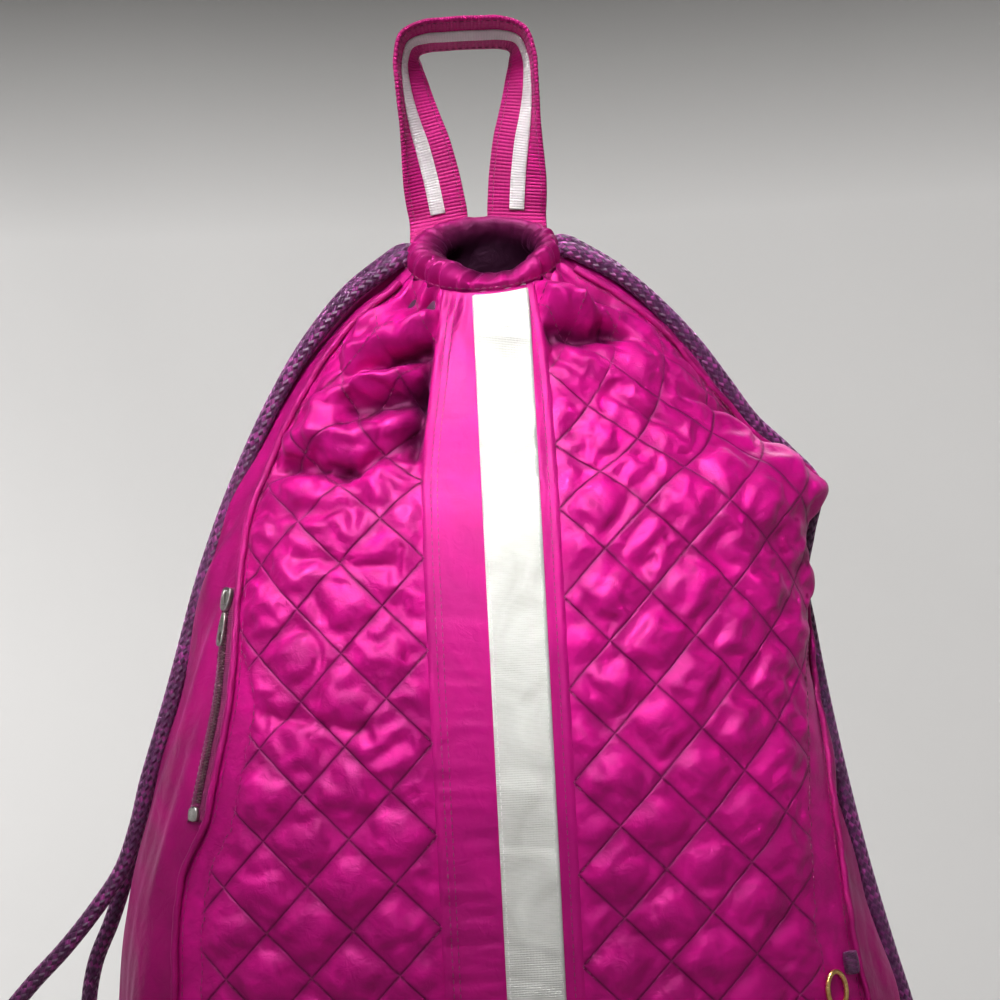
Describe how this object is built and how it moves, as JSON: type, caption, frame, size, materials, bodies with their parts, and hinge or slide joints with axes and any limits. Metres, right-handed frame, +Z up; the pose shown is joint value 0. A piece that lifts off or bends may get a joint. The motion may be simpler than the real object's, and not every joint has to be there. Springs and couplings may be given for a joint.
{
  "type": "quilted backpack",
  "caption": "Quilted puffer drawstring backpack in magenta satin nylon, gathered at the mouth, hanging by its webbing handle, with a white ribbon down the front and dark purple cords.",
  "frame": {"origin": "underside of the webbing handle's top, where a hook bears", "axes": "+Z up, -Y towards the front with the ribbon, +X towards the front view's right"},
  "size_m": [0.4349, 0.1461, 0.523],
  "materials": {
    "quilted_nylon": "satin",
    "plain_nylon": "satin",
    "ribbon": "matte ribbed",
    "webbing": "woven",
    "webbing_stripe": "woven",
    "cord": "braided",
    "zip_tape": "woven",
    "zip_metal": "polished",
    "gold": "polished",
    "whipping": "wound thread"
  },
  "bodies": {
    "root": {"front_left_panel": "quilted_nylon", "front_right_panel": "quilted_nylon", "back_panel": "quilted_nylon", "centre_band": "plain_nylon", "white_ribbon": "ribbon", "side_panel_left": "plain_nylon", "side_panel_right": "plain_nylon", "base_panel": "plain_nylon", "collar": "plain_nylon", "handle_webbing": "webbing", "handle_stripe": "webbing_stripe", "piping_left": "plain_nylon", "piping_right": "plain_nylon", "cord_left_front": "cord", "cord_left_back": "cord", "cord_right_front": "cord", "cord_right_back": "cord", "corner_tab_left": "webbing", "corner_tab_right": "webbing", "zip_tape": "zip_tape", "zip_teeth": "zip_metal", "zip_slider": "zip_metal", "zip_pull": "zip_metal", "zip_stop": "zip_metal", "cord_whipping": "whipping", "gold_link": "gold"}
  },
  "joints": []
}
